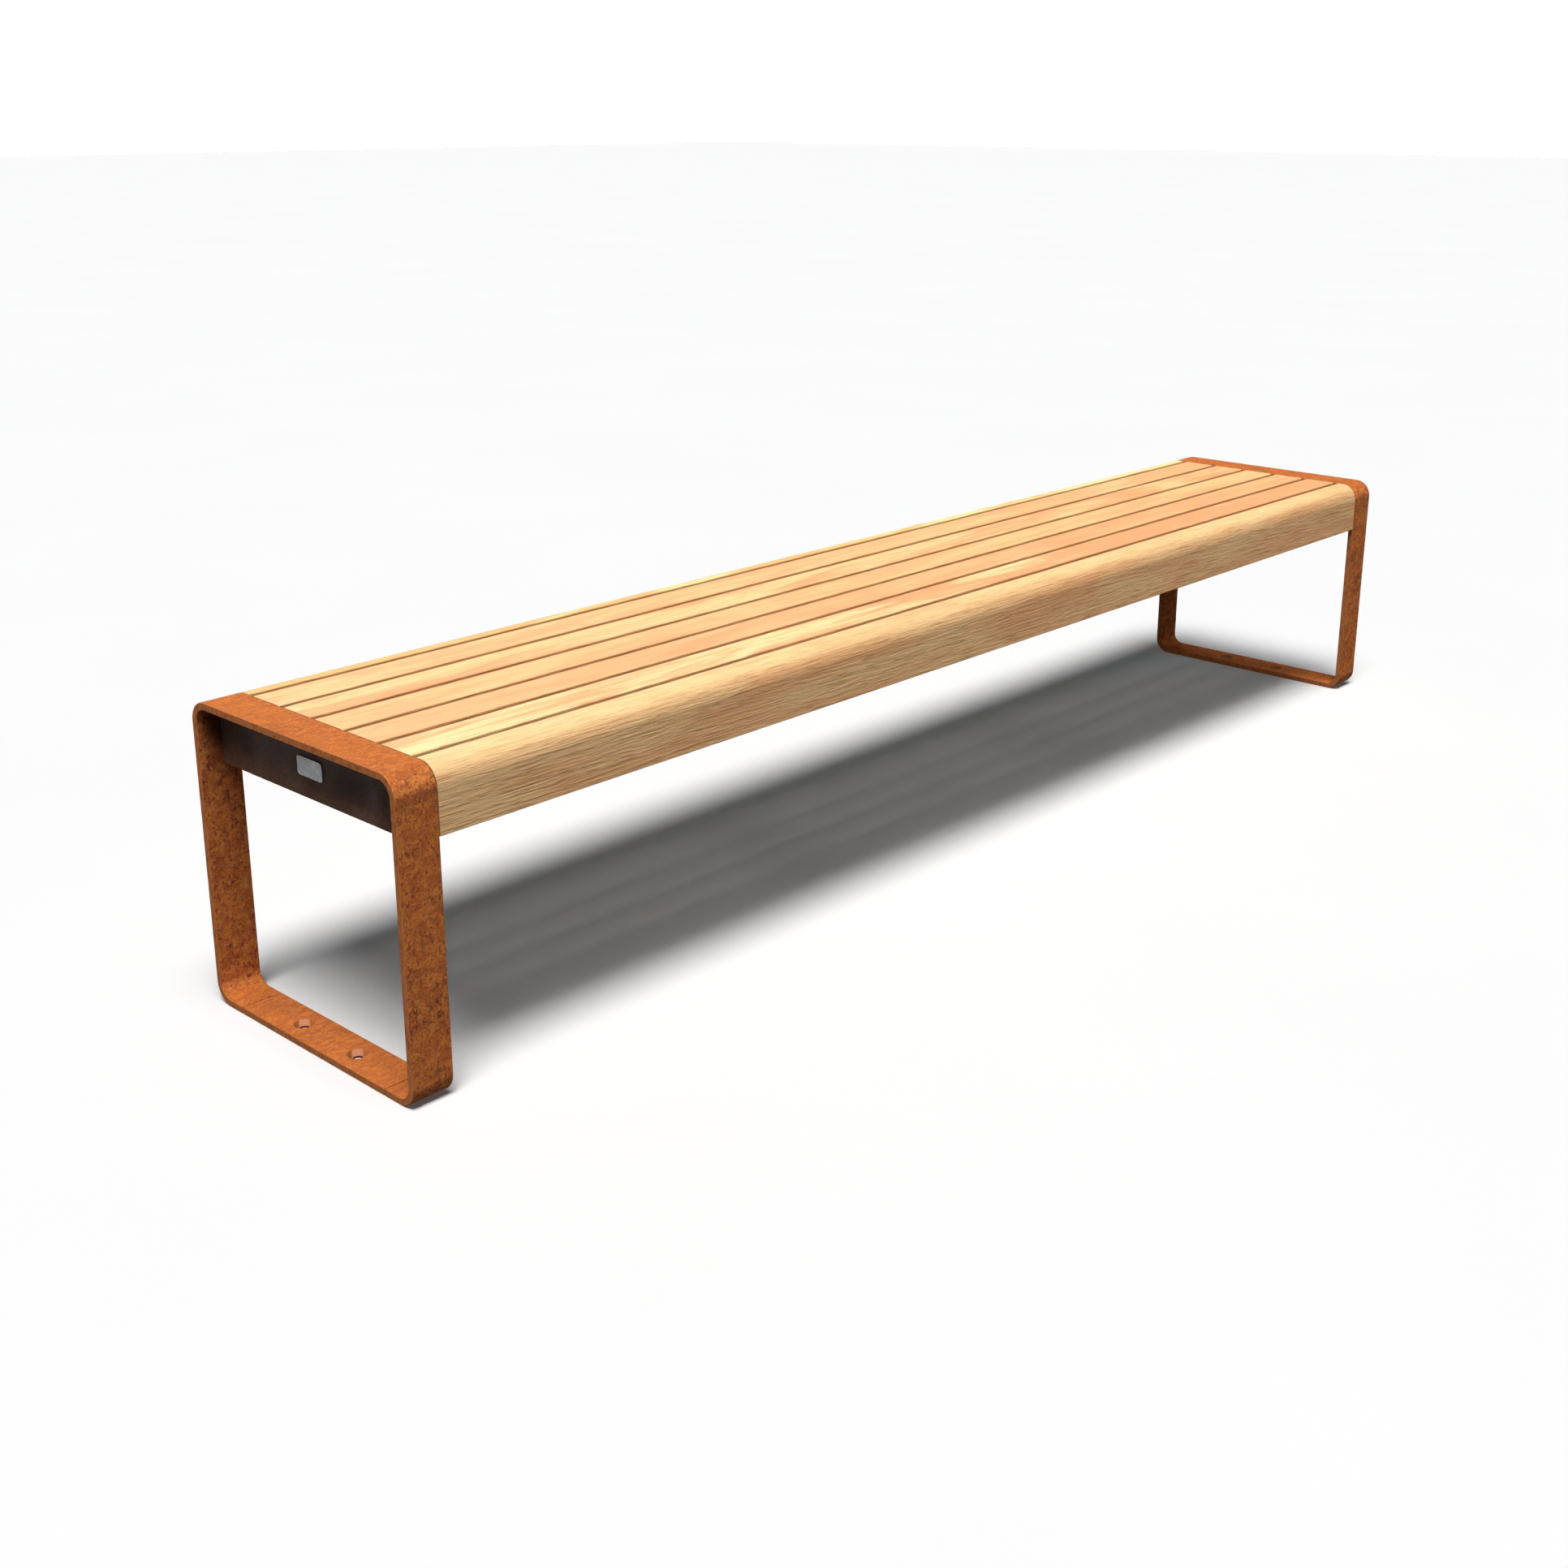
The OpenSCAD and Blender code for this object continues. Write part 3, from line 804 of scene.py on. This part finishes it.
# Near holes: a strong painted reflection and painted shade on one side; far holes: painted shade all across
hole_steel = {
    "left": hole_shade_and_reflection("hole_shade_and_reflection", reflection_share=0.65, shaded_to=-0.004),
    "right": hole_shade_and_reflection("hole_steel", reflection_share=0.1, shaded_to=0.020),
}
plate_steel = plate_steel_painted_shade("plate_steel_painted_shade")
for side in ("left", "right"):
    placed(hoop(side + "_hoop"), side + "_hoop", steel)
    strap = placed(foot_strap(side + "_foot_strap"), side + "_foot_strap", steel)
    set_countersink_material(strap, hole_steel[side])
    placed(end_plate(side + "_end_plate"), side + "_end_plate", plate_steel)
badge_metal = plated_steel(
    "badge_metal", base=(0.30, 0.305, 0.31), shade=(0.24, 0.245, 0.25),
    grain_size=0.006, rough_low=0.45, rough_high=0.58, shift=3,
)
placed(badge(), "badge", badge_metal)
first_shift, shift_apart = 20, 3
for place, (name, tones) in enumerate(WOOD_TONES.items()):
    wood = hardwood("hardwood_" + name, first_shift + shift_apart * place, *tones)
    placed(board(name), name, wood)

finishes = {
    "frame_steel": plated_steel(
        "galvanised_steel", base=(0.50, 0.51, 0.52), shade=(0.33, 0.34, 0.35),
        grain_size=0.012, rough_low=0.42, rough_high=0.62, spangled=True,
    ),
    "fastener_steel": plated_steel(
        "stainless_steel", base=(0.62, 0.61, 0.59), shade=(0.45, 0.44, 0.43),
        grain_size=0.004, rough_low=0.28, rough_high=0.40,
    ),
    "weld_steel": weld_metal("weld_metal"),
}
for name, (shape, slot) in DETAILED.items():
    group = skin(name + "_set", *[shape(low, high) for low, high in solid_boxes(name)])
    placed(group, name, finishes[slot])

# The frame's angles and the foot welds keep their CAD shape, with their edges softened by the width given
FRAME = ["front_rail", "back_rail", "left_ledger", "right_ledger", "left_bearer", "right_bearer"]
CARRIED = [("frame_steel", FRAME, ANGLE_EDGE), ("weld_steel", ["foot_welds"], FOOT_WELD_EDGE)]
for slot, names, edge in CARRIED:
    for name in names:
        node = frame["nodes"][name]
        node.data.materials.clear()
        node.data.materials.append(finishes[slot])
        softened = node.modifiers.new("softened", "BEVEL")
        softened.width = edge
        softened.segments = 2
        softened.angle_limit = SHARP_ANGLE

# ---- Studio ----

# The floor's half width and the backdrop's radius, in metres, and the floor's colours
FLOOR_HALF = 40
BACKDROP_RADIUS = 60
FLOOR_LIGHT = (0.900, 0.888, 0.882)
FLOOR_DARK = (0.870, 0.857, 0.851)
FLOOR_GLOW = (0.60, 0.87, 1, 1)


def floor():
    """A plain pale floor that takes the bench's shadow. From below it isn't seen."""
    mesh = bpy.data.meshes.new("floor")
    corners = [(x * FLOOR_HALF, y * FLOOR_HALF, 0) for x, y in ((-1, -1), (1, -1), (1, 1), (-1, 1))]
    mesh.from_pydata(corners, [], [(0, 1, 2, 3)])
    piece = bpy.data.objects.new("floor", mesh)
    bpy.context.scene.collection.objects.link(piece)
    paint = Paint("floor")
    cloud = paint.noise(0.8, detail=2)
    colour = paint.mix(FLOOR_DARK, FLOOR_LIGHT, cloud)
    paint.shader.inputs["Emission Color"].default_value = FLOOR_GLOW
    paint.shader.inputs["Emission Strength"].default_value = 0.052
    mesh.materials.append(paint.finish(colour, 0.9, paint.bump(cloud, 0.0001), specular=0.1))
    nodes, links = paint.tree.nodes, paint.tree.links
    side = nodes.new("ShaderNodeNewGeometry")
    clear = nodes.new("ShaderNodeBsdfTransparent")
    either = nodes.new("ShaderNodeMixShader")
    links.new(side.outputs["Backfacing"], either.inputs[0])
    links.new(paint.shader.outputs[0], either.inputs[1])
    links.new(clear.outputs[0], either.inputs[2])
    links.new(either.outputs[0], nodes["Material Output"].inputs["Surface"])
    piece.visible_diffuse = False
    piece.visible_shadow = False
    return piece


def all_but(piece):
    """A group of receivers that leaves one piece out, for lamps that shouldn't light it."""
    group = bpy.data.collections.new("all_but_" + piece.name)
    group.objects.link(piece)
    group.collection_objects[0].light_linking.link_state = "EXCLUDE"
    return group


def sun(name, towards, spread, level, receivers=None):
    """A soft, distant lamp in the direction given, which lights a level surface to the level given."""
    direction = Vector(towards).normalized()
    lamp = bpy.data.lights.new(name, "SUN")
    lamp.angle = math.radians(spread)
    lamp.energy = level * math.pi / abs(direction.z)
    holder = bpy.data.objects.new(name, lamp)
    holder.location = direction * 5
    holder.rotation_euler = direction.to_track_quat("Z", "Y").to_euler()
    holder.light_linking.receiver_collection = receivers
    bpy.context.scene.collection.objects.link(holder)


def sky(level):
    """Even, weak light from all round."""
    world = bpy.data.worlds.new("studio")
    world.use_nodes = True
    world.node_tree.nodes["Background"].inputs["Color"].default_value = (1, 1, 1, 1)
    world.node_tree.nodes["Background"].inputs["Strength"].default_value = level
    bpy.context.scene.world = world


def backdrop():
    """A white dome far round the bench, seen only by the camera."""
    mesh = bmesh.new()
    bmesh.ops.create_icosphere(mesh, subdivisions=3, radius=BACKDROP_RADIUS)
    data = bpy.data.meshes.new("backdrop")
    mesh.to_mesh(data)
    mesh.free()
    material = bpy.data.materials.new("backdrop")
    material.use_nodes = True
    shader = material.node_tree.nodes["Principled BSDF"]
    shader.inputs["Base Color"].default_value = (0, 0, 0, 1)
    shader.inputs["Emission Color"].default_value = (1, 1, 1, 1)
    shader.inputs["Emission Strength"].default_value = 1.02
    data.materials.append(material)
    piece = bpy.data.objects.new("backdrop", data)
    piece.visible_diffuse = False
    piece.visible_glossy = False
    piece.visible_shadow = False
    bpy.context.scene.collection.objects.link(piece)


def camera():
    """A view from the left front, a little above the seat."""
    elevation, azimuth = 17.0, -47.0
    lens = bpy.data.cameras.new("camera")
    lens.lens = 43.3
    lens.sensor_width = 36
    lens.shift_y = -0.0673
    lens.clip_end = 200
    holder = bpy.data.objects.new("camera", lens)
    holder.location = (-2.3756, -1.9257, 1.1672)
    holder.rotation_euler = (math.radians(90 - elevation), 0, math.radians(azimuth))
    bpy.context.scene.collection.objects.link(holder)
    bpy.context.scene.camera = holder


bench_only = all_but(floor())
backdrop()
# Three key lamps, tilted apart along the bench, so that the shadow's ends are softer than its sides
for tilt in (-0.08, -0.22, -0.38):
    sun("key", (tilt, -0.215, 1), spread=21, level=0.350)
sun("front_fill", (-0.25, -1, 1.1), spread=40, level=0.180, receivers=bench_only)
sun("back_fill", (0.35, 1, 0.5), spread=45, level=0.10, receivers=bench_only)
sun("floor_glow", (0, 0, -1), spread=8, level=0.09, receivers=bench_only)
sky(0.035)
camera()
bpy.context.scene.view_settings.view_transform = "Standard"
